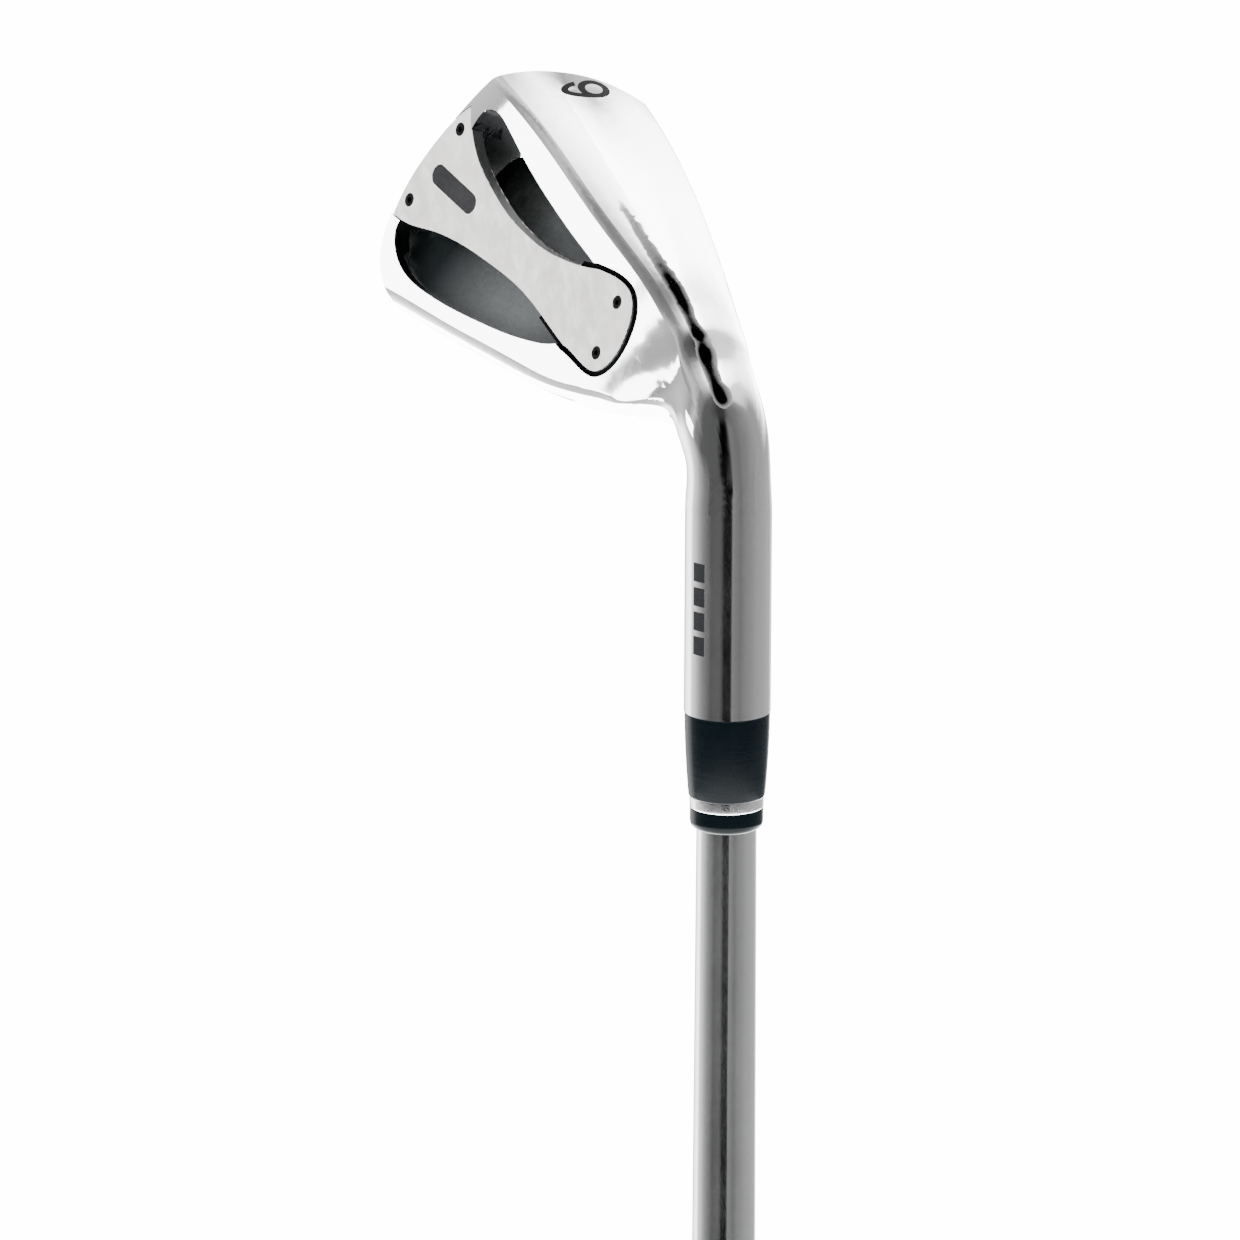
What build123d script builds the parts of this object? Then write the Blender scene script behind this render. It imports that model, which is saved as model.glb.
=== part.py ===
from build123d import *
from math import atan, cos, radians, sin
import os

# ---- whole club -----------------------------------------------------------
club_length = 914.0          # butt end to the point where the shaft axis meets the ground
lie_angle = 63.5             # shaft axis above the ground at address
loft_angle = 42.0            # face leaning back from vertical

# ---- blade ----------------------------------------------------------------
edge_forward = 8.0           # leading edge ahead of the shaft axis
edge_height = 3.0            # leading edge above the ground
top_thickness = 4.5          # blade thickness along the topline
back_slope = 0.30            # thickness gained per mm going down the back
topline_rise = 38.16         # rise of the topline from the shaft axis to the toe
topline_height = 21.0        # topline height up the face, carried back to the shaft axis
crease_setback = 1.0         # rounding between the sole and the back
edge_setback = 1.4           # rounding of the leading edge and topline
brow_setback = 0.6           # rounding between the face and the topline
topline_bow = 0.5            # fullness of the topline
toe_reach = 79.5             # furthest point of the toe from the shaft axis
drawn_reach = 79.5           # toe reach that the outline tables are drawn at
blade_overrun = 10.5         # stock left past the toe before it is trimmed
trim_start = 46.0            # the toe trim begins this far from the shaft axis
trim_run = 8.0               # and leaves the blade by this much above and below

# ---- hosel ----------------------------------------------------------------
hosel_diameter = 13.6
hosel_length = 54.6          # hosel rim to ground along the axis
neck_waist = 0.5             # the neck is this much slimmer than the hosel
crotch_x = 4.0               # centre of the inside bend between topline and hosel
crotch_z = 21.0
bore_depth = 32.0
bore_floor = 1.0             # solid metal of the hosel tube below the bore
tube_step = 0.02             # the neck meets the hosel tube this much under its radius

# ---- shaft ----------------------------------------------------------------
tip_diameter = 9.02
tip_taper = 0.0075           # diameter gained per mm over the tapered tip
tip_length = 165.0
step_count = 13
step_pitch = 34.0
butt_diameter = 15.24
shaft_wall = 0.75
step_ramp = 1.5

# ---- ferrule --------------------------------------------------------------
sleeve_length = 13.7
sleeve_step = 0.2            # collar rim smaller than the hosel
sleeve_end_wall = 1.49       # walls are measured over the shaft tip
sleeve_belly = 0.15          # fullness of the collar side
trim_width = 1.8
trim_wall = 1.29
end_ring_width = 3.4
end_ring_wall = 1.24
end_ring_round = 1.2

# ---- face plate and cavity -------------------------------------------------
plate_thickness = 3.8
plate_ledge = 0.8            # plate overlap behind the frame all round
groove_width = 0.8
groove_depth = 0.4
groove_pitch = 3.6
groove_count = 9
groove_length = 38.0
groove_middle = 49.0         # middle of the grooves from the shaft axis
first_groove = 15.5          # lowest groove up the face

# ---- sling bridge ----------------------------------------------------------
bridge_thickness = 2.2
gasket_width = 0.9
gasket_drop = 0.4            # gasket face below the bridge face
toe_gap = 0.15               # clearance round the toe end of the bridge
screw_head_diameter = 2.2
screw_shank_diameter = 1.3
screw_length = 5.0
screw_head_height = 1.0
screw_socket = 1.0
screw_socket_depth = 0.6
inlay_length = 13.0
inlay_width = 3.4
inlay_depth = 0.6
inlay_turn = 18.0            # lean of the inlay toward the topline

# ---- markings --------------------------------------------------------------
mark_depth = 0.5
digit_height = 8.0
digit_width = 5.2
digit_stroke = 1.2
digit_inset = 10.0           # middle of the figure short of the toe
digit_across = -4.1
dash_length = 3.0
dash_width = 2.3
dash_pitch = 3.95
dash_count = 4
dash_height = 37.0           # middle of the row above the ground along the axis
dash_azimuth = 120.0         # round the hosel from the toe side toward the back

# ---- grip ------------------------------------------------------------------
grip_length = 265.0
butt_wall = 5.63             # rubber over the shaft at the cap
mouth_wall = 1.08            # rubber over the shaft at the mouth
cap_thickness = 4.5
cap_lip = 0.55               # the cap stands proud of the rubber
cap_round = 2.0
vent_diameter = 2.6
first_ring = 40.0            # first ring above the butt end
plain_mouth = 30.0           # rubber left without rings at the mouth
ring_pitch = 14.6
ring_width = 1.2
ring_depth = 0.5
grip_sides = 12              # straight lengths that make up the grip's curved side
grip_flare = 0.6             # power of the grip's curve, 1 being a straight cone

# ---- cutting tools ---------------------------------------------------------
proud_cut = 5.0              # tools stand this far above the surface they enter
through_cut = 30.0           # tools run this far through the blade
figure_reach = 10.0          # half height of the block that holds the figure

# ---- worked out from the sizes above ----------------------------------------
tube_foot = hosel_length - bore_depth - bore_floor
neck_diameter = hosel_diameter - neck_waist
grip_butt_diameter = butt_diameter + 2 * butt_wall
grip_mouth_diameter = butt_diameter + 2 * mouth_wall
cap_diameter = grip_butt_diameter + 2 * cap_lip

# ---- frames ----------------------------------------------------------------
# The club hangs grip down: the shaft axis is Z with the butt end at zero and the
# head on top.  The address frame has x toward the toe, y toward the face side and
# z up from the ground.  The face frame measures depth into the head.
lie = radians(lie_angle)
loft = radians(loft_angle)
address = Plane(
    origin=(0, 0, club_length),
    x_dir=(sin(lie), 0, cos(lie)),
    z_dir=(cos(lie), 0, -sin(lie)),
)
face_frame = Plane(
    origin=(0, edge_forward, edge_height),
    x_dir=(1, 0, 0),
    z_dir=(0, -cos(loft), -sin(loft)),
)


def to_club(shape):
    """Carry a shape from the address frame to the finished club frame."""
    return address.location * shape


def to_address(shape):
    """Carry a shape from the finished club frame back to the address frame."""
    return address.location.inverse() * shape


def face_point(along, up, depth):
    """Point given by distance to the toe, up the face and into the head."""
    return face_frame.from_local_coords(Vector(along, up, depth))


def topline_at(along):
    """Height of the straight part of the topline up the face."""
    return topline_height + topline_rise * along / toe_reach


def back_depth(along, up):
    """Depth of the flat back behind the face."""
    return top_thickness + back_slope * (topline_at(along) - up)


def back_point(along, up):
    """Point on the flat back."""
    return face_point(along, up, back_depth(along, up))


def make_back_frame():
    """Frame on the flat back: x toward the toe, y up, z out of the back."""
    low = back_point(0, 0)
    across = back_point(toe_reach, 0) - low
    upward = back_point(0, toe_reach) - low
    return Plane(origin=low, x_dir=across, z_dir=across.cross(upward))


def set_out(points):
    """Outline points carried from the drawn toe reach to the chosen one."""
    stretch = toe_reach / drawn_reach
    return [(along * stretch, up) for along, up in points]


back_frame = make_back_frame()


# ---- head sections ---------------------------------------------------------
# A section is sixteen points: eight joints and the middle of each of the eight
# curves between them, with a tangent at every joint.  The curves run leading edge
# rounding, face, topline rounding, topline, back rounding, back, crease, sole.
ring_angles = (-70, 15, 60, 90, 125, 175, 225, 250)


def side_curve(start, end, bulge, start_setback, end_setback):
    """Bowed side between two corners, cut back at both ends."""
    chord = end - start
    unit = chord.normalized()
    outward = Vector(unit.Y, -unit.X)
    lean = 2 * atan(2 * bulge / chord.length)
    leave = unit * cos(lean) + outward * sin(lean)
    arrive = unit * cos(lean) - outward * sin(lean)
    first = start + leave * start_setback
    last = end - arrive * end_setback
    middle = (start + end) * 0.5 + outward * bulge
    return first, middle, last, leave, arrive


def blade_section(corners, bulges, setbacks):
    """Joints, middles and tangents of a four-cornered section."""
    joints = []
    middles = []
    tangents = []
    sides = []
    for i in range(4):
        j = (i + 1) % 4
        sides.append(side_curve(corners[i], corners[j], bulges[i], setbacks[i], setbacks[j]))
    for i in range(4):
        previous = sides[i - 1]
        side = sides[i]
        joints.append(previous[2])
        tangents.append(previous[4])
        middles.append((previous[2] + side[0]) * 0.25 + corners[i] * 0.5)
        joints.append(side[0])
        tangents.append(side[3])
        middles.append(side[1])
    return joints, middles, tangents


def ring_section(radius):
    """The same joints and middles laid round a circle."""
    joints = []
    middles = []
    tangents = []
    for i in range(8):
        start = ring_angles[i]
        stop = ring_angles[(i + 1) % 8]
        if stop < start:
            stop += 360
        half = radians((start + stop) / 2)
        turn = radians(start)
        joints.append(Vector(cos(turn), sin(turn)) * radius)
        middles.append(Vector(cos(half), sin(half)) * radius)
        tangents.append(Vector(-sin(turn), cos(turn)))
    return joints, middles, tangents


def blend(one, two, share):
    """Mix two sections, share 0 gives the first."""
    mixed = []
    for a_list, b_list in zip(one, two):
        mixed.append([a * (1 - share) + b * share for a, b in zip(a_list, b_list)])
    return mixed


def section_wire(section, plane):
    """Closed outline of a section laid on a plane."""
    joints, middles, tangents = section
    points = [plane.from_local_coords(p) for p in joints]
    waists = [plane.from_local_coords(p) for p in middles]
    ways = [plane.from_local_coords(t) - plane.origin for t in tangents]
    edges = []
    for i in range(8):
        j = (i + 1) % 8
        edges.append(
            Edge.make_spline([points[i], waists[i], points[j]], tangents=[ways[i], ways[j]])
        )
    return Wire(edges)


# along, leading edge up the face, topline up the face, topline thickness,
# crease back from the shaft axis, crease height, sole bulge
stations = (
    (drawn_reach + blade_overrun, 8.0, 66.5, 4.5, 18.2, 8.2, 2.6),
    (80.0, 5.2, 61.0, 4.5, 16.6, 5.6, 2.7),
    (70.0, 2.7, 55.9, 4.5, 15.0, 3.6, 2.7),
    (58.0, 1.0, 50.0, 4.5, 12.9, 2.4, 2.6),
    (46.0, 0.3, 44.0, 4.5, 10.9, 2.1, 2.5),
    (34.0, 0.4, 37.9, 4.6, 8.4, 2.0, 2.3),
    (24.0, 0.9, 31.9, 4.8, 6.2, 2.1, 2.1),
    (16.0, 1.4, 26.0, 5.2, 4.9, 2.7, 1.9),
    (9.5, 1.9, 20.6, 5.8, 4.6, 3.6, 1.8),
)
neck_station = (crotch_x, 2.5, 16.3, 6.6, 4.8, 4.7, 1.8)
# Swing of each neck section about the crotch and its share of the round hosel.
neck_steps = ((0, 0), (0.33, 0.3), (0.67, 0.72), (1, 1))


def station_section(station):
    """Blade section at one station, in (y, z) of the address frame."""
    along, low, high, thick, crease_back, crease_up, bulge = station
    edge = face_point(along, low, 0)
    top = face_point(along, high, 0)
    top_back = face_point(along, high, thick)
    corners = [
        Vector(edge.Y, edge.Z),
        Vector(top.Y, top.Z),
        Vector(top_back.Y, top_back.Z),
        Vector(-crease_back, crease_up),
    ]
    bulges = (0.0, topline_bow, 0.0, bulge)
    setbacks = (edge_setback, brow_setback, edge_setback, crease_setback)
    return blade_section(corners, bulges, setbacks)


def blade_plane(along):
    """Upright plane across the blade, along being taken from the tables."""
    here = along * toe_reach / drawn_reach
    return Plane(origin=(here, 0, 0), x_dir=(0, 1, 0), z_dir=(1, 0, 0))


def neck_plane(swing):
    """Plane across the neck, swung about the crotch centre.

    Swing 0 stands across the blade and swing 1 stands square to the hosel.
    """
    turn = lie * swing
    outward = Vector(cos(turn), 0, -sin(turn))
    return Plane(origin=(crotch_x, 0, crotch_z), x_dir=(0, 1, 0), z_dir=outward)


def shifted(section, across, up):
    """Section moved inside its plane."""
    joints, middles, tangents = section
    step = Vector(across, up)
    return [p + step for p in joints], [p + step for p in middles], tangents


def hosel_point(height):
    """Point on the shaft axis at a height measured along it from the ground."""
    return Vector(-cos(lie), 0, sin(lie)) * height


def hosel_plane(height):
    """Plane square to the shaft axis, x to the face side."""
    return Plane(
        origin=hosel_point(height),
        x_dir=(0, 1, 0),
        z_dir=(cos(lie), 0, -sin(lie)),
    )


def head_shell():
    """One smooth body from past the toe, round the neck, to the hosel tube."""
    axis_offset = crotch_x * sin(lie) + crotch_z * cos(lie)
    neck_height = crotch_z * sin(lie) - crotch_x * cos(lie)
    neck_ring = shifted(ring_section(neck_diameter / 2), 0, -axis_offset)
    neck_blade = shifted(station_section(neck_station), 0, -crotch_z)
    wires = [section_wire(station_section(s), blade_plane(s[0])) for s in stations]
    for swing, share in neck_steps:
        mixed = blend(neck_blade, neck_ring, share)
        wires.append(section_wire(mixed, neck_plane(swing)))
    joint_radius = hosel_diameter / 2 - tube_step
    middle_radius = (neck_diameter / 2 + joint_radius) / 2
    middle_height = (neck_height + tube_foot) / 2
    wires.append(section_wire(ring_section(middle_radius), hosel_plane(middle_height)))
    wires.append(section_wire(ring_section(joint_radius), hosel_plane(tube_foot)))
    return Solid.make_loft(wires)


# Toe outline on the face: distance short of the toe and height up the face.
toe_outline = (
    (21.0, 0.2),
    (13.0, 1.9),
    (7.2, 5.6),
    (3.7, 11.5),
    (1.6, 18.0),
    (0.3, 26.0),
    (0.0, 34.0),
    (0.3, 41.0),
    (1.7, 47.0),
    (5.0, 52.0),
    (10.5, 54.2),
    (16.5, 53.3),
    (23.5, 52.0),
)


def toe_trim():
    """Everything outside the rounded toe, square to the face."""
    rounding = [(toe_reach - short, up) for short, up in toe_outline]
    inner = toe_reach - (drawn_reach - trim_start)
    start = (inner, rounding[0][1] - trim_run)
    finish = (inner, rounding[-1][1] + trim_run)
    outer = toe_reach * 2
    surround = Polyline(
        finish, (inner, outer), (outer, outer), (outer, -toe_reach), (inner, -toe_reach), start
    )
    outside = make_face([Spline(start, *rounding, finish), surround])
    return extrude(face_frame * outside, amount=through_cut + proud_cut, both=True)


# ---- cavity and face plate ---------------------------------------------------
# Outline of the cavity on the back: toward the toe and up the back.
cavity_outline = set_out((
    (31.0, 16.6),
    (36.0, 16.9),
    (40.4, 17.6),
    (47.6, 18.6),
    (54.6, 19.4),
    (61.6, 19.9),
    (68.4, 20.1),
    (72.4, 20.9),
    (74.5, 22.9),
    (74.5, 26.5),
    (73.2, 32.0),
    (73.0, 40.0),
    (73.8, 45.6),
    (74.0, 48.8),
    (71.9, 50.8),
    (68.8, 51.7),
    (64.2, 51.2),
    (59.3, 49.3),
    (54.2, 46.8),
    (47.5, 43.0),
    (40.8, 38.9),
    (34.8, 34.6),
    (30.4, 30.2),
    (28.6, 25.6),
    (28.6, 20.4),
))


def grown(points, amount):
    """Anticlockwise loop of points moved outward, with mitred corners."""
    count = len(points)
    moved = []
    for i in range(count):
        here = Vector(*points[i])
        arriving = (here - Vector(*points[i - 1])).normalized()
        leaving = (Vector(*points[(i + 1) % count]) - here).normalized()
        one = Vector(arriving.Y, -arriving.X)
        two = Vector(leaving.Y, -leaving.X)
        place = here + (one + two) * (amount / (1 + one.dot(two)))
        moved.append((place.X, place.Y))
    return moved


def closed_face(points):
    """Face inside a smooth closed curve."""
    return make_face(Spline(*points, periodic=True))


def on_back(sketch, top, bottom):
    """Solid between two levels over the flat back."""
    return extrude(back_frame * Pos(0, 0, bottom) * sketch, amount=top - bottom)


def cavity_cut():
    """Opening from the back right through to the face plate."""
    return on_back(closed_face(cavity_outline), proud_cut, -through_cut)


def plate_outline():
    """Cavity outline carried square to the back down to the rear of the plate."""
    points = []
    inward = back_frame.z_dir * -1
    face_normal = face_frame.z_dir
    for along, up in cavity_outline:
        start = back_frame.from_local_coords(Vector(along, up))
        depth = face_frame.to_local_coords(start).Z
        travel = (depth - plate_thickness) / inward.dot(face_normal)
        reached = face_frame.to_local_coords(start + inward * travel)
        points.append((reached.X, reached.Y))
    return points


def plate_blank(proud=0.0):
    """Face plate before its grooves, or the tool for its seat when left proud."""
    outline = closed_face(grown(plate_outline(), plate_ledge))
    return extrude(face_frame * Pos(0, 0, -proud) * outline, amount=plate_thickness + proud)


def plate_groove(index):
    """One scoring groove."""
    middle = set_out([(groove_middle, first_groove + groove_pitch * index)])[0]
    bar = Rectangle(groove_length, groove_width)
    return extrude(face_frame * Pos(*middle) * bar, amount=groove_depth)


def face_plate():
    """Hitting plate let into the front of the frame, clear of the bridge seats."""
    plate = plate_blank()
    for index in range(groove_count):
        plate = plate - plate_groove(index)
    return plate - bridge_seats() - screw_spaces()


# ---- sling bridge ------------------------------------------------------------
bridge_low = set_out((
    (33.8, 16.8),
    (37.6, 19.9),
    (41.4, 22.4),
    (46.3, 25.0),
    (49.8, 26.3),
    (54.8, 27.8),
    (62.7, 28.8),
    (69.9, 28.6),
    (74.0, 27.4),
))
bridge_toe = set_out((
    (77.8, 25.4),
    (78.9, 30.0),
    (79.1, 35.0),
    (78.7, 41.0),
))
bridge_high = set_out((
    (76.6, 48.6),
    (71.7, 46.3),
    (67.5, 43.2),
    (63.0, 40.4),
    (58.8, 38.2),
    (53.4, 35.8),
    (48.0, 33.6),
    (42.5, 31.9),
    (36.1, 30.7),
))
bridge_heel = set_out((
    (29.4, 29.6),
    (23.4, 27.8),
    (20.5, 26.2),
    (19.3, 23.4),
    (19.5, 19.8),
    (20.8, 16.6),
    (22.7, 14.2),
    (24.9, 13.2),
    (27.5, 13.5),
    (30.5, 14.8),
))
heel_seat_reach = bridge_low[1][0]
toe_seat_reach = bridge_low[6][0]
screw_spots = set_out(((26.1, 16.3), (22.8, 24.4), (76.6, 29.3), (75.7, 44.6)))
inlay_spot = set_out(((69.4, 35.6),))[0]


def bridge_face(growth=0.0):
    """Waisted outline of the bridge on the back, grown outward if asked."""
    loop = grown([*bridge_low, *bridge_toe, *bridge_high, *bridge_heel], growth)
    toe_start = len(bridge_low)
    toe_end = toe_start + len(bridge_toe)
    heel_start = toe_end + len(bridge_high)
    low_edge = Spline(*loop[: toe_start + 1])
    toe_edge = Spline(*loop[toe_start : toe_end + 1])
    high_edge = Spline(*loop[toe_end : heel_start + 1])
    heel_edge = Spline(*loop[heel_start:], loop[0])
    return make_face([low_edge, toe_edge, high_edge, heel_edge])


def heel_window(reach):
    """Block over the heel end of the bridge, up to a line toward the toe."""
    block = Box(toe_reach, 2 * toe_reach, 2 * through_cut)
    return back_frame * Pos(reach - toe_reach / 2, 0, 0) * block


def bridge_seats():
    """Recesses for both ends of the bridge, the heel one wider for the gasket."""
    heel_seat = on_back(bridge_face(gasket_width), proud_cut, -bridge_thickness)
    toe_seat = on_back(bridge_face(toe_gap), proud_cut, -bridge_thickness)
    return (heel_seat & heel_window(heel_seat_reach)) + (toe_seat - heel_window(toe_seat_reach))


def screw(spot):
    """Cheese-head screw set square to the back, its head level with the bridge."""
    head = Cylinder(screw_head_diameter / 2, screw_head_height)
    shank = Cylinder(screw_shank_diameter / 2, screw_length)
    head = Pos(0, 0, -screw_head_height / 2) * head
    shank = Pos(0, 0, -screw_head_height - screw_length / 2) * shank
    return back_frame * Pos(*spot) * (head + shank)


def screw_with_socket(spot):
    """Finished screw with its hexagon socket."""
    socket = extrude(RegularPolygon(screw_socket / 2, 6), amount=-screw_socket_depth)
    return screw(spot) - back_frame * Pos(*spot) * socket


def screw_spaces():
    """All four screws as one tool."""
    spaces = screw(screw_spots[0])
    for spot in screw_spots[1:]:
        spaces = spaces + screw(spot)
    return spaces


def inlay(depth):
    """Plain bar let into the toe end of the bridge."""
    bar = SlotOverall(inlay_length, inlay_width)
    seat = back_frame * Pos(*inlay_spot) * Rot(0, 0, inlay_turn) * bar
    return extrude(seat, amount=-depth)


def sling_bridge():
    """Bridge plate with screw holes and the inlay pocket."""
    plate = on_back(bridge_face(), 0, -bridge_thickness)
    return plate - screw_spaces() - inlay(inlay_depth)


def bridge_gasket():
    """Dark strip round the heel end of the bridge."""
    band = on_back(bridge_face(gasket_width), -gasket_drop, -bridge_thickness)
    strip = band & heel_window(heel_seat_reach)
    return strip - on_back(bridge_face(), proud_cut, -through_cut)


# ---- markings ------------------------------------------------------------------
def digit_sketch():
    """Plain figure nine from a ring and a curved leg."""
    outer = digit_width / 2
    inner = outer - digit_stroke
    centre = digit_height / 2 - outer
    ring = Pos(0, centre) * (Circle(outer) - Circle(inner))
    reach = digit_height - outer
    bow = Ellipse(outer, reach) - Ellipse(inner, reach - digit_stroke)
    stem_side = Pos(-outer, -reach / 2) * Rectangle(outer * 2, reach)
    hook_side = Pos(outer, -reach) * Rectangle(outer * 2, reach)
    leg = Pos(0, centre) * (bow & (stem_side + hook_side))
    return ring + leg


def sole_digit(head):
    """Figure in the sole near the toe, following the sole surface."""
    figure = Pos(toe_reach - digit_inset, digit_across) * digit_sketch()
    stub = head & extrude(figure, amount=figure_reach, both=True)
    return stub - Pos(0, 0, mark_depth) * stub


def hosel_dashes():
    """Row of short bars let into the hosel."""
    radius = hosel_diameter / 2
    layer = Cylinder(radius, hosel_length) - Cylinder(radius - mark_depth, hosel_length)
    bars = []
    for index in range(dash_count):
        height = dash_pitch * (index - (dash_count - 1) / 2)
        bar = layer & Pos(radius, 0, height) * Box(radius, dash_width, dash_length)
        bars.append(Pos(0, 0, club_length - dash_height) * Rot(0, 0, dash_azimuth) * bar)
    return bars


# ---- turned parts ----------------------------------------------------------------
def turned(profile):
    """Solid turned round the shaft axis from (radius, height) points."""
    points = [(radius, 0, height) for radius, height in profile]
    outline = Polyline(*points, close=True)
    return revolve(make_face(outline), axis=Axis.Z, revolution_arc=360)


def shaft_skin(inset=0.0):
    """Outer radius and height along the shaft from tip to butt."""
    tip = club_length - hosel_length + bore_depth
    thick = tip_diameter + tip_taper * tip_length
    gain = (butt_diameter - thick) / step_count
    height = tip - tip_length
    skin = [(tip_diameter / 2 - inset, tip), (thick / 2 - inset, height)]
    for index in range(step_count):
        thick += gain
        skin.append((thick / 2 - inset, height - step_ramp))
        height -= step_pitch
        skin.append((thick / 2 - inset, height))
    skin[-1] = (butt_diameter / 2 - inset, cap_thickness)
    return skin


def shaft_blank():
    """Solid shaft, used to bore every part that slides over it."""
    skin = shaft_skin()
    return turned([(0, skin[0][1])] + skin + [(0, skin[-1][1])])


def bore_tool():
    """Taper of the shaft tip, carried past the hosel rim."""
    skin = shaft_skin()
    tip_radius, tip = skin[0]
    reach = bore_depth * 2
    mouth_radius = tip_radius + tip_taper * reach / 2
    return turned([(0, tip), (tip_radius, tip), (mouth_radius, tip - reach), (0, tip - reach)])


def hosel_tube(dashes):
    """Straight bored tube at the top of the neck, with seats for the bars."""
    length = hosel_length - tube_foot
    middle = club_length - tube_foot - length / 2
    tube = Pos(0, 0, middle) * Cylinder(hosel_diameter / 2, length) - bore_tool()
    for dash in dashes:
        tube = tube - dash
    return tube


def shaft():
    """Stepped tube, tapered at the tip and open at both ends."""
    return turned(shaft_skin() + shaft_skin(shaft_wall)[::-1])


def ferrule_sleeve(rod):
    """Tapered collar against the hosel rim."""
    top = club_length - hosel_length
    bottom = top - sleeve_length
    middle = (top + bottom) / 2
    rim = (hosel_diameter - sleeve_step) / 2
    end = tip_diameter / 2 + sleeve_end_wall
    waist = (rim + end) / 2 + sleeve_belly
    return turned([(0, top), (rim, top), (waist, middle), (end, bottom), (0, bottom)]) - rod


def ferrule_trim_ring(rod):
    """Bright ring below the collar."""
    top = club_length - hosel_length - sleeve_length
    ring = Cylinder(tip_diameter / 2 + trim_wall, trim_width)
    return Pos(0, 0, top - trim_width / 2) * ring - rod


def ferrule_end_ring(rod):
    """Last dark ring with a rounded shoulder."""
    top = club_length - hosel_length - sleeve_length - trim_width
    ring = Cylinder(tip_diameter / 2 + end_ring_wall, end_ring_width)
    ring = Pos(0, 0, top - end_ring_width / 2) * ring
    ring = fillet(ring.edges().sort_by(Axis.Z)[0], end_ring_round)
    return ring - rod


# ---- grip --------------------------------------------------------------------------
def grip_radius(height):
    """Outer radius of the grip at a height from the butt."""
    share = (height / grip_length) ** grip_flare
    return (grip_butt_diameter + (grip_mouth_diameter - grip_butt_diameter) * share) / 2


def grip_sleeve(rod):
    """Rubber sleeve with shallow rings cut round it."""
    rubber_length = grip_length - cap_thickness
    heights = [cap_thickness + rubber_length * i / grip_sides for i in range(grip_sides + 1)]
    skin = [(grip_radius(height), height) for height in heights]
    body = turned([(0, cap_thickness)] + skin + [(0, grip_length)])
    ring_count = int((grip_length - plain_mouth - first_ring) / ring_pitch) + 1
    for index in range(ring_count):
        height = first_ring + ring_pitch * index
        inner = grip_radius(height) - ring_depth
        groove = Cylinder(grip_butt_diameter, ring_width) - Cylinder(inner, ring_width)
        body = body - Pos(0, 0, height) * groove
    return body - rod


def grip_cap():
    """End cap with the vent hole."""
    disc = Pos(0, 0, cap_thickness / 2) * Cylinder(cap_diameter / 2, cap_thickness)
    disc = fillet(disc.edges().sort_by(Axis.Z)[0], cap_round)
    return disc - Cylinder(vent_diameter / 2, 3 * cap_thickness)


# ---- build ---------------------------------------------------------------------------
def head_pieces(dashes):
    """Head frame in the address frame, with the figure let into its sole."""
    blade = head_shell() - toe_trim()
    digit = sole_digit(blade)
    blade = blade - digit
    blade = blade - cavity_cut() - plate_blank(proud_cut)
    blade = blade - bridge_seats() - screw_spaces()
    return blade + to_address(hosel_tube(dashes)), digit


def build():
    """Every piece of the club in the club frame."""
    rod = shaft_blank()
    dashes = hosel_dashes()
    head, digit = head_pieces(dashes)
    return {
        "head_body": to_club(head),
        "face_plate": to_club(face_plate()),
        "sling_bridge": to_club(sling_bridge()),
        "bridge_gasket": to_club(bridge_gasket()),
        "bridge_inlay": to_club(inlay(inlay_depth)),
        "bridge_screws": Compound([to_club(screw_with_socket(s)) for s in screw_spots]),
        "sole_digit_fill": to_club(digit),
        "hosel_dash_fill": Compound(dashes),
        "ferrule_sleeve": ferrule_sleeve(rod),
        "ferrule_trim_ring": ferrule_trim_ring(rod),
        "ferrule_end_ring": ferrule_end_ring(rod),
        "shaft": shaft(),
        "grip_sleeve": grip_sleeve(rod),
        "grip_cap": grip_cap(),
    }


os.makedirs("parts", exist_ok=True)
for name, shape in build().items():
    export_step(shape, f"parts/{name}.step")
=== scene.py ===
from math import cos, pi, radians, sin, tau

import bmesh
import bpy
from mathutils import Matrix, Vector


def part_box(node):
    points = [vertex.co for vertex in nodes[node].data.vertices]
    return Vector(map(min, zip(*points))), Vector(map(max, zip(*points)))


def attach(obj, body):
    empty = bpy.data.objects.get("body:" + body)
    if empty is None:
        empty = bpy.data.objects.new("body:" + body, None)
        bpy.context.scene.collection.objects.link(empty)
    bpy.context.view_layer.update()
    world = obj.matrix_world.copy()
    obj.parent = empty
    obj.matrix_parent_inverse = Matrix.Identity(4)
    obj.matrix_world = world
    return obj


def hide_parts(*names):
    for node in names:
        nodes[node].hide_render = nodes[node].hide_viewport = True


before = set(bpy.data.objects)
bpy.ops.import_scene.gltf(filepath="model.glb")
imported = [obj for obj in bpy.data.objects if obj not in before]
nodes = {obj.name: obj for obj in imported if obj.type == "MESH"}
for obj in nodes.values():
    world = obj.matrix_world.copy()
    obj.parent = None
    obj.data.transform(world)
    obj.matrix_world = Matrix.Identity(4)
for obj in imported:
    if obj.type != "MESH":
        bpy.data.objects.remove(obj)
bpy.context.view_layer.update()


# ---- shader helpers ---------------------------------------------------------
class Value:
    """A socket that can be used in sums."""

    def __init__(self, shader, socket):
        self.shader = shader
        self.socket = socket

    def _math(self, operation, one, two):
        return self.shader.node("ShaderNodeMath", {"operation": operation}, {0: one, 1: two})

    def __add__(self, other):
        return self._math("ADD", self, other)

    def __radd__(self, other):
        return self._math("ADD", other, self)

    def __sub__(self, other):
        return self._math("SUBTRACT", self, other)

    def __rsub__(self, other):
        return self._math("SUBTRACT", other, self)

    def __mul__(self, other):
        return self._math("MULTIPLY", self, other)

    def __rmul__(self, other):
        return self._math("MULTIPLY", other, self)


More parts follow.
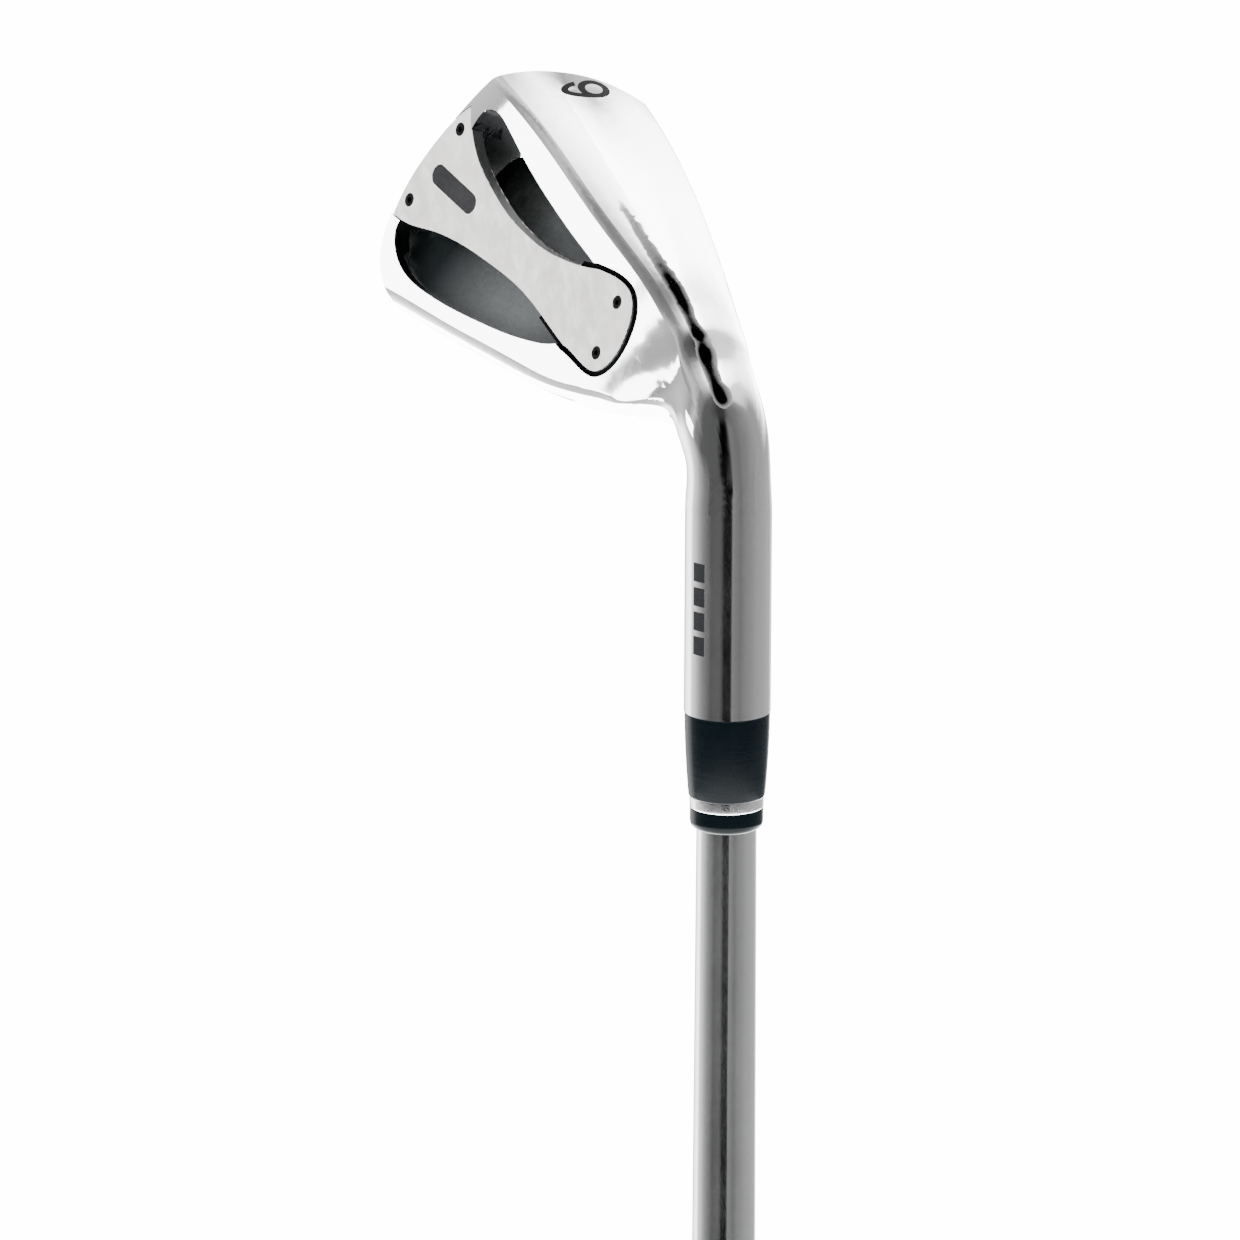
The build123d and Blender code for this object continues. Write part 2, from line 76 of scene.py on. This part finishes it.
def set_stops(elements, stops):
    """Grey stops of a colour ramp from (place, level) pairs."""
    while len(elements) < len(stops):
        elements.new(0.5)
    for element, (place, level) in zip(elements, stops):
        element.position = place
        element.color = (level, level, level, 1.0)


class Shader:
    """Material with one principled surface, built node by node."""

    def __init__(self, name):
        self.material = bpy.data.materials.new(name)
        self.material.use_nodes = True
        self.tree = self.material.node_tree
        self.surface = self.tree.nodes["Principled BSDF"]

    def feed(self, socket, value):
        """Link a value to a socket, or fix the socket at a number or colour."""
        if isinstance(value, Value):
            self.tree.links.new(value.socket, socket)
        elif socket.type == "RGBA":
            socket.default_value = (*value, 1.0)
        else:
            socket.default_value = value

    def node(self, kind, settings, inputs, output=0):
        """Any node: its settings first, then the values or links of its sockets."""
        made = self.tree.nodes.new(kind)
        for key, value in settings.items():
            if key == "stops":
                set_stops(made.color_ramp.elements, value)
            else:
                setattr(made, key, value)
        for key, value in inputs.items():
            self.feed(made.inputs[key], value)
        return Value(self, made.outputs[output])

    def position(self, scale):
        """Object position stretched by a scale for each axis."""
        place = self.node("ShaderNodeTexCoord", {}, {}, "Object")
        return self.node("ShaderNodeMapping", {}, {"Vector": place, "Scale": scale})

    def noise(self, scale, size=1.0, detail=4.0, rough=0.55):
        where = self.position(scale)
        return self.node(
            "ShaderNodeTexNoise",
            {},
            {"Vector": where, "Scale": size, "Detail": detail, "Roughness": rough},
            "Fac",
        )

    def spread(self, value, low, high, start=0.0, stop=1.0):
        """Map a value from low..high to start..stop."""
        return self.node(
            "ShaderNodeMapRange",
            {"clamp": True},
            {"Value": value, "From Min": low, "From Max": high, "To Min": start, "To Max": stop},
        )

    def tint(self, share, one, two):
        """Mix two colours."""
        return self.node(
            "ShaderNodeMix", {"data_type": "RGBA"}, {0: share, 6: one, 7: two}, 2
        )

    def bump(self, height, strength, distance):
        return self.node(
            "ShaderNodeBump",
            {},
            {"Height": height, "Strength": strength, "Distance": distance},
        )

    def set(self, **sockets):
        """Feed or fix the surface's own sockets, named with underscores for spaces."""
        for key, value in sockets.items():
            self.feed(self.surface.inputs[key.replace("_", " ")], value)
        return self.material


# ---- materials ---------------------------------------------------------------
# Painted shade: X span (metres) over which the cavity colours darken toward the toe end.
painted_toe_shade = (0.058, 0.074)


def polished_chrome(name, tone, base_rough):
    """Bright plate with faint polishing haze and a slight orange-peel."""
    s = Shader(name)
    haze = s.noise((1, 1, 1), 90.0, 5.0)
    wipe = s.noise((400, 400, 40), 1.0, 3.0)
    peel = s.noise((1, 1, 1), 260.0, 2.0)
    colour = s.tint(s.spread(haze, 0.3, 0.7), tone, tuple(c * 0.965 for c in tone))
    rough = s.spread(haze * 0.6 + wipe * 0.4, 0.3, 0.7, base_rough * 0.7, base_rough * 1.5)
    return s.set(
        Base_Color=colour,
        Roughness=rough,
        Metallic=1.0,
        Normal=s.bump(peel, 0.02, 0.0001),
    )


def satin_steel(name, light, dark, rough_low, rough_high, along):
    """Fine brushed steel, stretched along one axis, with darker handling marks."""
    s = Shader(name)
    brush = s.noise(along, 1.0, 6.0, 0.7)
    cloud = s.noise((1, 1, 1), 60.0, 4.0)
    speck = s.noise((1, 1, 1), 900.0, 2.0)
    share = s.spread(brush * 0.45 + cloud * 0.4 + speck * 0.15, 0.35, 0.65)
    colour = s.tint(share, dark, light)
    rough = s.spread(brush, 0.3, 0.7, rough_low, rough_high)
    return s.set(
        Base_Color=colour,
        Roughness=rough,
        Metallic=1.0,
        Normal=s.bump(brush * 0.7 + speck * 0.3, 0.12, 0.0001),
    )


def blasted_steel_toe_shaded(name, light_low, light_high, toe_shade_tone):
    """Dark blasted steel of the cavity, with painted shade darkening it toward the toe end."""
    s = Shader(name)
    grain = s.noise((1, 1, 1), 1500.0, 3.0, 0.6)
    cloud = s.noise((1, 1, 1), 45.0, 3.0)
    share = s.spread(cloud * 0.6 + grain * 0.4, 0.3, 0.7)
    open_tone = s.tint(share, light_low, light_high)
    toward_toe = s.node("ShaderNodeSeparateXYZ", {}, {"Vector": s.position((1, 1, 1))}, "X")
    colour = s.tint(s.spread(toward_toe, painted_toe_shade[0], painted_toe_shade[1]), open_tone, toe_shade_tone)
    return s.set(
        Base_Color=colour,
        Roughness=s.spread(grain, 0.3, 0.7, 0.38, 0.55),
        Metallic=0.9,
        Normal=s.bump(grain, 0.2, 0.0001),
    )


def dark_coat(name, tone, rough, depth=0.08, sheen=0.08):
    """Painted or rubber-like dark surface with fine texture."""
    s = Shader(name)
    grain = s.noise((1, 1, 1), 1100.0, 3.0)
    cloud = s.noise((1, 1, 1), 120.0, 3.0)
    lighter = tuple(c * 1.7 + 0.001 for c in tone)
    return s.set(
        Base_Color=s.tint(s.spread(cloud, 0.35, 0.7), tone, lighter),
        Roughness=s.spread(grain, 0.3, 0.7, rough * 0.85, min(1.0, rough * 1.2)),
        Metallic=0.0,
        Specular_IOR_Level=sheen,
        Normal=s.bump(grain, depth, 0.0001),
    )


def gloss_plastic(name):
    """Polished black ferrule plastic with faint turning lines."""
    s = Shader(name)
    lines = s.noise((30, 30, 5000), 1.0, 3.0)
    cloud = s.noise((1, 1, 1), 150.0, 3.0)
    return s.set(
        Base_Color=s.tint(s.spread(cloud, 0.3, 0.7), (0.0006, 0.0016, 0.0022), (0.0010, 0.0024, 0.0032)),
        Roughness=s.spread(lines, 0.3, 0.7, 0.10, 0.2),
        Metallic=0.0,
        Specular_IOR_Level=0.06,
        Normal=s.bump(lines, 0.02, 0.0001),
    )


def grip_rubber(name):
    """Matt rubber with a cord-like diagonal texture."""
    s = Shader(name)
    grain = s.noise((1, 1, 1), 700.0, 4.0)
    weave = s.node(
        "ShaderNodeTexWave",
        {"wave_type": "BANDS", "bands_direction": "DIAGONAL"},
        {"Vector": s.position((1, 1, 1)), "Scale": 160.0, "Distortion": 2.0},
        "Fac",
    )
    worn = s.noise((1, 1, 1), 22.0, 4.0)
    return s.set(
        Base_Color=s.tint(s.spread(worn, 0.35, 0.75), (0.012, 0.012, 0.013), (0.035, 0.034, 0.034)),
        Roughness=s.spread(grain, 0.3, 0.7, 0.62, 0.85),
        Metallic=0.0,
        Normal=s.bump(grain * 0.6 + weave * 0.4, 0.45, 0.0003),
    )


chrome = polished_chrome("head chrome", (0.93, 0.93, 0.945), 0.04)
shaft_plate = polished_chrome("shaft chrome", (0.88, 0.885, 0.9), 0.06)
trim_plate = polished_chrome("trim ring", (0.92, 0.92, 0.94), 0.12)
bridge_steel = satin_steel(
    "bridge satin steel", (0.80, 0.78, 0.76), (0.62, 0.61, 0.59), 0.30, 0.48, (260, 900, 260)
)
# Cavity floor: its own dark blasted tone, with painted shade darkening its toe end.
floor_steel = blasted_steel_toe_shaded(
    "cavity floor steel", (0.12, 0.128, 0.132), (0.25, 0.262, 0.27), (0.014, 0.018, 0.020)
)
# Painted shade: the chrome head's cavity walls, coloured near-black where shade falls.
shaded_wall_steel = blasted_steel_toe_shaded(
    "cavity wall painted shade", (0.030, 0.034, 0.037), (0.055, 0.060, 0.063), (0.004, 0.005, 0.006)
)
# Painted shade: the bridge's side edges, a darker copy of the bridge steel.
shaded_edge_steel = blasted_steel_toe_shaded(
    "bridge edge painted shade", (0.10, 0.10, 0.10), (0.17, 0.17, 0.17), (0.08, 0.08, 0.08)
)
# Near-black colour for the band round the bridge's heel end.
gasket_black = dark_coat("gasket black", (0.0010, 0.0010, 0.0012), 0.6, sheen=0.02)
screw_black = dark_coat("screw black oxide", (0.0012, 0.0012, 0.0014), 0.35, sheen=0.03)
inlay_black = dark_coat("inlay black enamel", (0.009, 0.009, 0.010), 0.35)
mark_black = dark_coat("marking paint", (0.005, 0.0055, 0.006), 0.4, sheen=0.04)
ferrule_black = gloss_plastic("ferrule plastic")
grip_black = grip_rubber("grip rubber")
cap_black = dark_coat("grip cap rubber", (0.010, 0.010, 0.011), 0.7, 0.3)

dressed = (
    ("head_body", chrome, "head_chrome"),
    ("face_plate", floor_steel, "plate_steel"),
    ("sling_bridge", bridge_steel, "bridge_steel"),
    ("bridge_gasket", gasket_black, "gasket_rubber"),
    ("bridge_inlay", inlay_black, "inlay_dark"),
    ("bridge_screws", screw_black, "screw_dark"),
    ("sole_digit_fill", mark_black, "mark_paint"),
    ("hosel_dash_fill", mark_black, "mark_paint"),
    ("grip_cap", cap_black, "cap_plastic"),
)
for name, material, _ in dressed:
    mesh = nodes[name].data
    mesh.materials.clear()
    mesh.materials.append(material)


def paint_side_wall_shade(name, material, lean):
    """Give the cavity faces that stand square to the flat back a second, darker material: painted shade
    on these side faces.
    """
    flat = max(nodes["sling_bridge"].data.polygons, key=lambda polygon: polygon.area)
    back = flat.normal.copy()
    plate_low, plate_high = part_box("face_plate")
    bridge_low, bridge_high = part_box("sling_bridge")
    low = [min(pair) - 0.0005 for pair in zip(plate_low, bridge_low)]
    high = [max(pair) + 0.0005 for pair in zip(plate_high, bridge_high)]
    mesh = nodes[name].data
    mesh.materials.append(material)
    for polygon in mesh.polygons:
        inside = all(a < c < b for a, c, b in zip(low, polygon.center, high))
        if inside and abs(polygon.normal.dot(back)) < lean:
            polygon.material_index = 1


# Painted shade on the cavity's side walls and on the bridge's side edges.
paint_side_wall_shade("head_body", shaded_wall_steel, 0.001)
paint_side_wall_shade("sling_bridge", shaded_edge_steel, 0.02)


def smooth_by_angle(obj, limit):
    """Smooth shading that keeps real edges crisp."""
    mesh = obj.data
    mesh.polygons.foreach_set("use_smooth", [True] * len(mesh.polygons))
    shape = bmesh.new()
    shape.from_mesh(mesh)
    for edge in shape.edges:
        edge.smooth = len(edge.link_faces) == 2 and edge.calc_face_angle(0.0) < limit
    shape.to_mesh(mesh)
    shape.free()


# ---- turned pieces -------------------------------------------------------------
def lathe(name, profile, sides, closed=True):
    """Fine turned mesh round the shaft axis from (radius, height) points."""
    shape = bmesh.new()
    rings = []
    for radius, height in profile:
        ring = []
        for i in range(sides):
            turn = tau * i / sides
            ring.append(shape.verts.new((radius * cos(turn), radius * sin(turn), height)))
        rings.append(ring)
    pairs = list(zip(rings, rings[1:]))
    if closed:
        pairs.append((rings[-1], rings[0]))
    for low, high in pairs:
        for i in range(sides):
            j = (i + 1) % sides
            shape.faces.new((low[i], low[j], high[j], high[i]))
    bmesh.ops.recalc_face_normals(shape, faces=shape.faces)
    mesh = bpy.data.meshes.new(name)
    shape.to_mesh(mesh)
    shape.free()
    obj = bpy.data.objects.new(name, mesh)
    bpy.context.scene.collection.objects.link(obj)
    return obj


def piece(obj, material, slot_name, *replaced, crease=radians(35)):
    """Dress a made piece and let it stand for its frame nodes."""
    obj.data.materials.append(material)
    smooth_by_angle(obj, crease)
    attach(obj, "root")
    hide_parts(*replaced)
    return obj


for name, material, slot_name in dressed:
    smooth_by_angle(nodes[name], radians(28))


def millimetres(points):
    return [(radius / 1000, height / 1000) for radius, height in points]


def rounded_corner(inner, corner, outer, steps=5):
    """Short run of points easing round one corner of a profile."""
    run = []
    for i in range(steps + 1):
        share = i / steps
        a = (1 - share) ** 2
        b = 2 * share * (1 - share)
        c = share**2
        run.append(
            (
                a * inner[0] + b * corner[0] + c * outer[0],
                a * inner[1] + b * corner[1] + c * outer[1],
            )
        )
    return run


# ---- shaft ---------------------------------------------------------------------
shaft_low, shaft_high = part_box("shaft")
tip_z = shaft_high.z * 1000
butt_z = shaft_low.z * 1000
butt_radius = shaft_high.x * 1000
tip_radius = 4.51
taper_run = 165.0
taper_gain = 0.0075 / 2
step_total = 13
step_pitch = 34.0
step_ramp = 1.5
wall = 0.75


def shaft_profile():
    """Outside of the stepped tube from tip to butt, then back up the inside."""
    radius = tip_radius + taper_gain * taper_run
    height = tip_z - taper_run
    skin = [(tip_radius, tip_z), (radius, height)]
    gain = (butt_radius - radius) / step_total
    for i in range(step_total):
        radius += gain
        skin.append((radius - gain * 0.85, height - step_ramp * 0.25))
        skin.append((radius - gain * 0.15, height - step_ramp * 0.75))
        skin.append((radius, height - step_ramp))
        height -= step_pitch
        skin.append((radius, max(height, butt_z)))
    skin[-1] = (butt_radius, butt_z)
    inside = [(r - wall, z) for r, z in reversed(skin)]
    return millimetres(skin + inside)


tube = lathe("shaft_tube", shaft_profile(), 160)
piece(tube, shaft_plate, "shaft_chrome", "shaft", crease=radians(60))

# ---- ferrule -------------------------------------------------------------------
sleeve_low, sleeve_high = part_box("ferrule_sleeve")
ring_low, ring_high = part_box("ferrule_trim_ring")
end_low, end_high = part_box("ferrule_end_ring")
sleeve_foot = 6.0
sleeve_steps = 15
sleeve_bow = 0.55
rim_break = 0.12
foot_break = 0.15


def bore_at(height):
    """Shaft radius at a height in millimetres, inside the ferrule."""
    return tip_radius + taper_gain * (tip_z - height)


def sleeve_profile():
    """Collar from the hosel rim down to its narrow foot, slightly bowed."""
    top = sleeve_high.z * 1000
    bottom = sleeve_low.z * 1000
    rim = sleeve_high.x * 1000
    length = top - bottom
    skin = [(rim - rim_break, top), (rim, top - rim_break)]
    for i in range(1, sleeve_steps):
        share = i / sleeve_steps
        bow = sleeve_bow * share * (1 - share)
        skin.append((rim + (sleeve_foot - rim) * share + bow, top - length * share))
    skin += [(sleeve_foot, bottom + foot_break), (sleeve_foot - foot_break, bottom)]
    return millimetres(skin + [(bore_at(bottom), bottom), (bore_at(top), top)])


def band_profile(low, high, soft):
    """Plain band with softly turned edges."""
    top = high.z * 1000
    bottom = low.z * 1000
    radius = high.x * 1000
    skin = rounded_corner((radius - soft, top), (radius, top), (radius, top - soft))
    skin += rounded_corner((radius, bottom + soft), (radius, bottom), (radius - soft, bottom))
    return millimetres(skin + [(bore_at(bottom), bottom), (bore_at(top), top)])


def end_profile():
    """Last ring, well rounded toward the shaft."""
    top = end_high.z * 1000
    bottom = end_low.z * 1000
    radius = end_high.x * 1000
    skin = [(radius - 0.1, top), (radius, top - 0.1)]
    skin += rounded_corner((radius, bottom + 1.3), (radius, bottom), (radius - 1.1, bottom), 8)
    return millimetres(skin + [(bore_at(bottom), bottom), (bore_at(top), top)])


ferrule_sides = 128
collar = lathe("ferrule_collar", sleeve_profile(), ferrule_sides)
piece(collar, ferrule_black, "ferrule_plastic", "ferrule_sleeve")
bright_band = lathe("ferrule_bright_band", band_profile(ring_low, ring_high, 0.2), ferrule_sides)
piece(bright_band, trim_plate, "trim_metal", "ferrule_trim_ring")
end_band = lathe("ferrule_end_band", end_profile(), ferrule_sides)
piece(end_band, ferrule_black, "ferrule_plastic", "ferrule_end_ring")

# ---- grip ------------------------------------------------------------------------
grip_low, grip_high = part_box("grip_sleeve")
grip_foot = grip_low.z * 1000
grip_mouth = grip_high.z * 1000


butt_width = 26.5
mouth_width = 17.4
grip_flare = 0.6
ring_total = 14
first_ring = 40
plain_length = 60
side_step = 5
side_sink = 0.02
bore_play = 0.02
# Across one ring, along the grip and into the rubber.
ring_cut = (
    (-1.0, 0.02),
    (-0.6, 0.12),
    (-0.35, 0.45),
    (0, 0.5),
    (0.35, 0.45),
    (0.6, 0.12),
    (1.0, 0.02),
)


def grip_radius(height):
    """Outer radius of the grip at a height above the butt end."""
    share = (height / grip_mouth) ** grip_flare
    return (butt_width + (mouth_width - butt_width) * share) / 2


def plain_side(start, stop):
    """Points up the side of the grip between two heights."""
    points = []
    height = start
    while height < stop:
        points.append((grip_radius(height) - side_sink, height))
        height += side_step
    return points


def grip_profile():
    """Tapered sleeve with shallow turned rings and a rolled mouth."""
    skin = [(min(grip_radius(grip_foot), grip_high.x * 1000), grip_foot)]
    pitch = (grip_mouth - plain_length) / ring_total
    height = grip_foot + 6
    for i in range(ring_total):
        groove = first_ring + pitch * i
        skin += plain_side(height, groove - 1.4)
        skin += [(grip_radius(groove + shift) - drop, groove + shift) for shift, drop in ring_cut]
        height = groove + 4
    skin += plain_side(height, grip_mouth - 2)
    rim = grip_radius(grip_mouth)
    skin += rounded_corner((rim, grip_mouth - 1.2), (rim, grip_mouth), (rim - 0.6, grip_mouth))
    inside = [(butt_radius + bore_play, grip_mouth), (butt_radius + bore_play, grip_foot)]
    return millimetres(skin + inside)


sleeve = lathe("grip_rubber_sleeve", grip_profile(), 144)
piece(sleeve, grip_black, "grip_rubber", "grip_sleeve", crease=radians(50))

# ---- floor, camera and light -------------------------------------------------------
club_length = 0.914
ground = Vector((0, 0, club_length))
heading = radians(72.66)
height_angle = radians(16.08)
toward_camera = Vector(
    (-cos(height_angle) * sin(heading), cos(height_angle) * cos(heading), sin(height_angle))
)
across = Vector((-cos(heading), -sin(heading), 0))
upward = toward_camera.cross(across)
distance = 3.642
frame_width = 0.1921587
aim = ground - across * 0.01677 - upward * 0.03862

camera_data = bpy.data.cameras.new("camera")
camera_data.sensor_width = 36
camera_data.lens = 36 * distance / frame_width
camera_data.clip_end = 100
camera = bpy.data.objects.new("camera", camera_data)
bpy.context.scene.collection.objects.link(camera)
camera.location = aim + toward_camera * distance
roll = radians(0.32)
right = across * cos(roll) + upward * sin(roll)
up = upward * cos(roll) - across * sin(roll)
turn = Matrix((right, up, toward_camera)).transposed().to_4x4()
camera.matrix_world = Matrix.Translation(camera.location) @ turn
bpy.context.scene.camera = camera


def staged(name, shape_mesh, material):
    """Studio object that is not part of the club."""
    obj = bpy.data.objects.new(name, shape_mesh)
    shape_mesh.materials.append(material)
    bpy.context.scene.collection.objects.link(obj)
    return obj


def floor():
    """Wide pale floor under the butt end."""
    mesh = bpy.data.meshes.new("floor")
    reach = 30
    corners = [(-reach, -reach, 0), (reach, -reach, 0), (reach, reach, 0), (-reach, reach, 0)]
    mesh.from_pydata(corners, [], [(0, 1, 2, 3)])
    s = Shader("pale floor")
    s.set(
        Base_Color=(0.9, 0.9, 0.9),
        Roughness=0.9,
        Emission_Color=(1, 1, 1),
        Emission_Strength=floor_light,
    )
    staged("floor", mesh, s.material).location = (0, 0, -0.002)


def graded(shader, sweep, stops):
    """Light level round the club from (degrees from the lens, level) stops."""
    places = [(degrees_round / 360 + 0.5, level / wrap_light) for degrees_round, level in stops]
    return shader.node("ShaderNodeValToRGB", {"stops": places}, {0: sweep})


def wrap_material():
    """Three bands of graded light that run into one another going up."""
    s = Shader("studio wrap")
    place = s.position((1, 1, 1))
    sweep = s.node("ShaderNodeTexGradient", {"gradient_type": "RADIAL"}, {"Vector": place}, "Fac")
    height = s.node("ShaderNodeSeparateXYZ", {}, {"Vector": place}, "Z")
    low_to_middle = s.spread(height, 0.75, 1.05)
    middle_to_top = s.spread(height, 2.5, 2.95)
    lower = s.tint(low_to_middle, graded(s, sweep, low_stops), graded(s, sweep, middle_stops))
    light = s.tint(middle_to_top, lower, graded(s, sweep, top_stops))
    s.set(
        Base_Color=(0, 0, 0),
        Roughness=1.0,
        Specular_IOR_Level=0.0,
        Emission_Color=light,
        Emission_Strength=wrap_light,
    )
    return s.material


def studio_wrap():
    """Round tent of graded light about the shaft axis, open on top, unseen by the lens."""
    shape = bmesh.new()
    sides = 120
    rings = []
    for radius, height in tent_profile:
        ring = []
        for i in range(sides):
            turn = tau * i / sides
            ring.append(shape.verts.new((radius * cos(turn), radius * sin(turn), height)))
        rings.append(ring)
    for low, high in zip(rings, rings[1:]):
        for i in range(sides):
            j = (i + 1) % sides
            shape.faces.new((low[i], low[j], high[j], high[i]))
    mesh = bpy.data.meshes.new("studio_wrap")
    shape.to_mesh(mesh)
    shape.free()
    obj = staged("studio_wrap", mesh, wrap_material())
    obj.rotation_euler = (0, 0, pi / 2 + heading)
    hidden(obj)


def flat_light(name, level):
    s = Shader(name)
    s.set(
        Base_Color=(0, 0, 0),
        Roughness=1.0,
        Specular_IOR_Level=0.0,
        Emission_Color=(1, 1, 1),
        Emission_Strength=level,
    )
    return s.material


def hidden(obj):
    """Seen in reflections only."""
    obj.visible_camera = False
    obj.visible_shadow = False


def card(name, middle, radius, bottom, top, width, level):
    """Narrow light card standing round from the lens by degrees."""
    corners = []
    for turn in (middle - width / 2, middle + width / 2):
        way = radians(turn) + pi / 2 + heading
        corners.append((radius * cos(way), radius * sin(way)))
    (x0, y0), (x1, y1) = corners
    mesh = bpy.data.meshes.new(name)
    mesh.from_pydata(
        [(x0, y0, bottom), (x1, y1, bottom), (x1, y1, top), (x0, y0, top)], [], [(0, 1, 2, 3)]
    )
    hidden(staged(name, mesh, flat_light(name, level)))


def ceiling(radius, height):
    """Dark round flag over the club."""
    sides = 48
    rim = [
        (radius * cos(tau * i / sides), radius * sin(tau * i / sides), height) for i in range(sides)
    ]
    mesh = bpy.data.meshes.new("ceiling_flag")
    mesh.from_pydata(rim, [], [tuple(range(sides))])
    s = Shader("ceiling flag")
    out = s.node(
        "ShaderNodeVectorMath",
        {"operation": "LENGTH"},
        {"Vector": s.position((1, 1, 0))},
        "Value",
    )
    s.set(
        Base_Color=(0, 0, 0),
        Roughness=1.0,
        Specular_IOR_Level=0.0,
        Emission_Color=s.tint(s.spread(out, 0.6 * radius, radius), (0, 0, 0), (1, 1, 1)),
        Emission_Strength=0.6,
    )
    hidden(staged("ceiling_flag", mesh, s.material))


floor_light = 12.0
wrap_light = 20.0
tent_profile = ((1.9, 0.0), (1.9, 0.93), (1.78, 1.56), (1.5, 2.41), (1.1, 2.82), (0.6, 3.15))
# Degrees round from the lens, positive to the right of the picture, and light level.
low_stops = (
    (-180, 3.0),
    (-166, 1.8),
    (-152, 1.4),
    (-144, 3.4),
    (-120, 4.4),
    (-110, 1.5),
    (-96, 0.95),
    (-84, 0.5),
    (-72, 0.27),
    (-56, 0.145),
    (-46, 0.085),
    (-22, 0.098),
    (-14, 0.045),
    (-11, 0.002),
    (-5, 0.0),
    (5.5, 0.0),
    (7, 0.03),
    (8.5, 0.05),
    (11.5, 0.235),
    (16, 0.215),
    (32, 0.155),
    (48, 0.23),
    (64, 0.28),
    (80, 0.37),
    (106, 0.45),
    (140, 0.62),
    (180, 3.0),
)
middle_stops = (
    (-180, 1.8),
    (-168, 4.0),
    (-152, 0.9),
    (-140, 0.75),
    (-120, 1.3),
    (-109, 0.38),
    (-102, 0.9),
    (-94, 0.3),
    (-86, 0.22),
    (-78, 0.12),
    (-48, 0.11),
    (-30, 0.11),
    (-23, 0.07),
    (-17, 0.008),
    (-8, 0.0),
    (0, 0.008),
    (5, 0.06),
    (9, 0.16),
    (14, 0.21),
    (28, 0.175),
    (48, 0.24),
    (64, 0.31),
    (80, 0.4),
    (100, 0.43),
    (110, 0.7),
    (122, 1.8),
    (134, 5.0),
    (144, 11.0),
    (158, 8.0),
    (167, 1.2),
    (176, 0.6),
    (180, 1.8),
)
top_stops = (
    (-180, 8.0),
    (-128, 5.0),
    (-110, 3.0),
    (-100, 1.3),
    (-88, 0.38),
    (-78, 0.15),
    (-56, 0.09),
    (-30, 0.05),
    (0, 0.05),
    (30, 0.17),
    (60, 0.22),
    (80, 0.4),
    (94, 1.3),
    (128, 1.7),
    (142, 7.0),
    (152, 12.0),
    (180, 11.0),
)
floor()
studio_wrap()
card("rim_card", -105.0, 1.8, 0.98, 1.23, 13.0, 10.0)
ceiling(0.6, 3.151)

world = bpy.data.worlds.new("studio")
world.use_nodes = True
world.node_tree.nodes["Background"].inputs["Color"].default_value = (1, 1, 1, 1)
world.node_tree.nodes["Background"].inputs["Strength"].default_value = 3.5
bpy.context.scene.world = world
